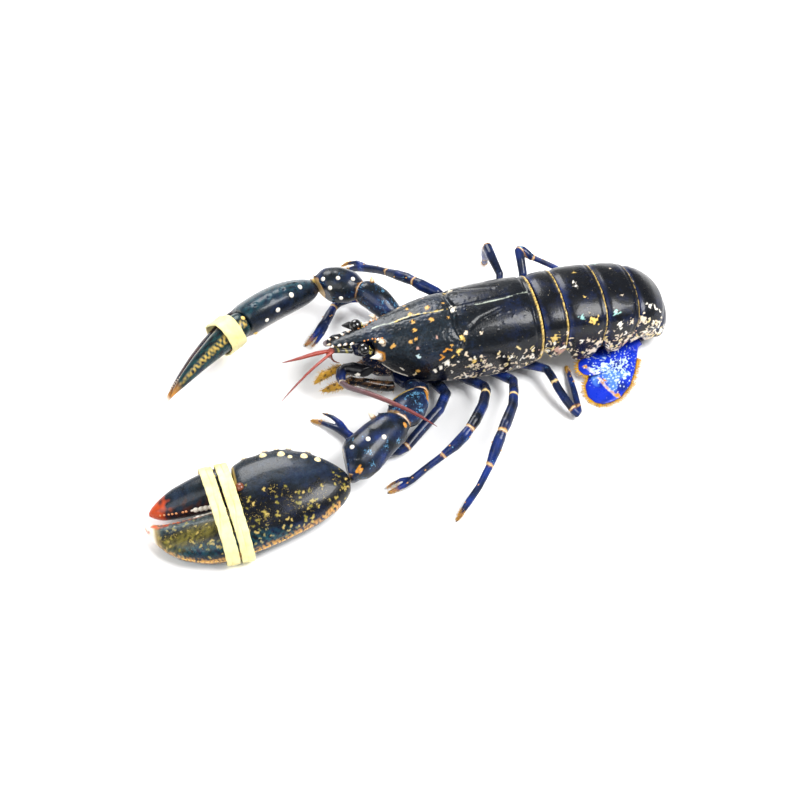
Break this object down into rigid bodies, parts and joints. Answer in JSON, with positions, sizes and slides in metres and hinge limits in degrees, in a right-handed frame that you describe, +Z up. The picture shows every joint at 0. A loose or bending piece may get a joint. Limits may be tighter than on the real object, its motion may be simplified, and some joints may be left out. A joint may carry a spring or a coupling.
{
  "type": "european lobster",
  "caption": "Life-size still model of a European lobster, claws forward and banded shut, tail curled under, resting on claws, leg tips and tail fan.",
  "frame": {"origin": "middle of the whole animal's footprint, on the floor", "axes": "+X towards the head and claws, +Y towards the animal's left (the crusher claw's side), +Z up"},
  "size_m": [0.353, 0.2236, 0.0582],
  "materials": {
    "shell_dark": "glossy blue-black shell with cream mottling and yellow plate edges",
    "shell_blue": "glossy cobalt and navy leg shell with cream-yellow joints",
    "claw_shell": "glossy blue-grey to olive claw shell with yellow and orange mottling",
    "tail_fan": "satin cobalt blue fan with pale marbling",
    "feelers": "satin ringed dark red feelers",
    "eyes": "glossy black",
    "mouthparts": "dark jointed jaw legs with golden bristles",
    "bands": "matt pale yellow elastic"
  },
  "bodies": {
    "root": {"abdomen_1": "shell_dark", "abdomen_2": "shell_dark", "abdomen_3": "shell_dark", "abdomen_4": "shell_dark", "abdomen_5": "shell_dark", "abdomen_6": "shell_dark", "antenna_base_left": "shell_blue", "antenna_base_right": "shell_blue", "antenna_left": "feelers", "antenna_right": "feelers", "antennule_left": "feelers", "antennule_right": "feelers", "band_left_front": "bands", "band_left_rear": "bands", "band_right": "bands", "carapace": "shell_dark", "claw_carpus_left": "claw_shell", "claw_carpus_right": "claw_shell", "claw_finger_left": "claw_shell", "claw_finger_right": "claw_shell", "claw_ischium_left": "shell_blue", "claw_ischium_right": "shell_blue", "claw_left": "claw_shell", "claw_merus_left": "claw_shell", "claw_merus_right": "claw_shell", "claw_right": "claw_shell", "eye_left": "eyes", "eye_right": "eyes", "head": "shell_dark", "jaws": "mouthparts", "leg_2_left_foot": "shell_blue", "leg_2_left_shin": "shell_blue", "leg_2_left_thigh": "shell_blue", "leg_2_right_foot": "shell_blue", "leg_2_right_shin": "shell_blue", "leg_2_right_thigh": "shell_blue", "leg_3_left_foot": "shell_blue", "leg_3_left_shin": "shell_blue", "leg_3_left_thigh": "shell_blue", "leg_3_right_foot": "shell_blue", "leg_3_right_shin": "shell_blue", "leg_3_right_thigh": "shell_blue", "leg_4_left_foot": "shell_blue", "leg_4_left_shin": "shell_blue", "leg_4_left_thigh": "shell_blue", "leg_4_right_foot": "shell_blue", "leg_4_right_shin": "shell_blue", "leg_4_right_thigh": "shell_blue", "leg_5_left_foot": "shell_blue", "leg_5_left_shin": "shell_blue", "leg_5_left_thigh": "shell_blue", "leg_5_right_foot": "shell_blue", "leg_5_right_shin": "shell_blue", "leg_5_right_thigh": "shell_blue", "maxilliped_left": "mouthparts", "maxilliped_right": "mouthparts", "sternum": "shell_blue", "tail_fan_left": "tail_fan", "tail_fan_right": "tail_fan", "telson": "tail_fan"}
  },
  "joints": []
}
